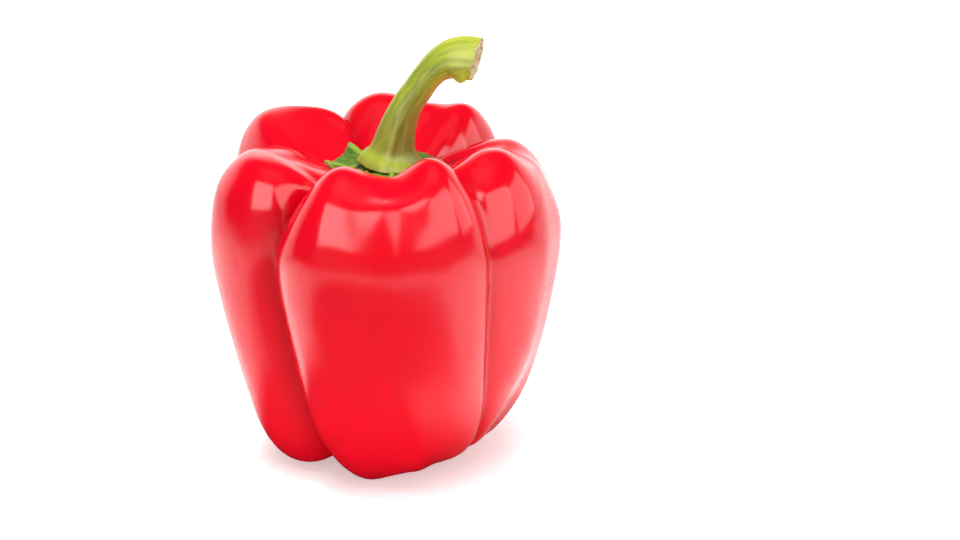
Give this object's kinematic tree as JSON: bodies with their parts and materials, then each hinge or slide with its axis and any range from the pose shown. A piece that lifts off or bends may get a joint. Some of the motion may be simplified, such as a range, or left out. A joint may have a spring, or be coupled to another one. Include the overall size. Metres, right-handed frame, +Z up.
{
  "type": "bell pepper",
  "caption": "Blocky glossy red bell pepper standing on its lobe tips, with a green star calyx and a curved cut stem.",
  "frame": {"origin": "centre of the whole outline seen from above, at the height of the surface the pepper stands on", "axes": "+Z up through the stem end, -Y towards the broad front lobe, +X to the side the stem leans to"},
  "size_m": [0.086, 0.0844, 0.1096],
  "materials": {
    "skin": "smooth, taut and waxy red skin, glossy, as grown",
    "calyx": "dark green leafy calyx, satin and finely wrinkled, as grown",
    "stem": "ribbed yellow-green stem, satin, with a pale woody cut end"
  },
  "bodies": {
    "root": {"fruit": "skin", "calyx": "calyx", "stem": "stem"}
  },
  "joints": []
}
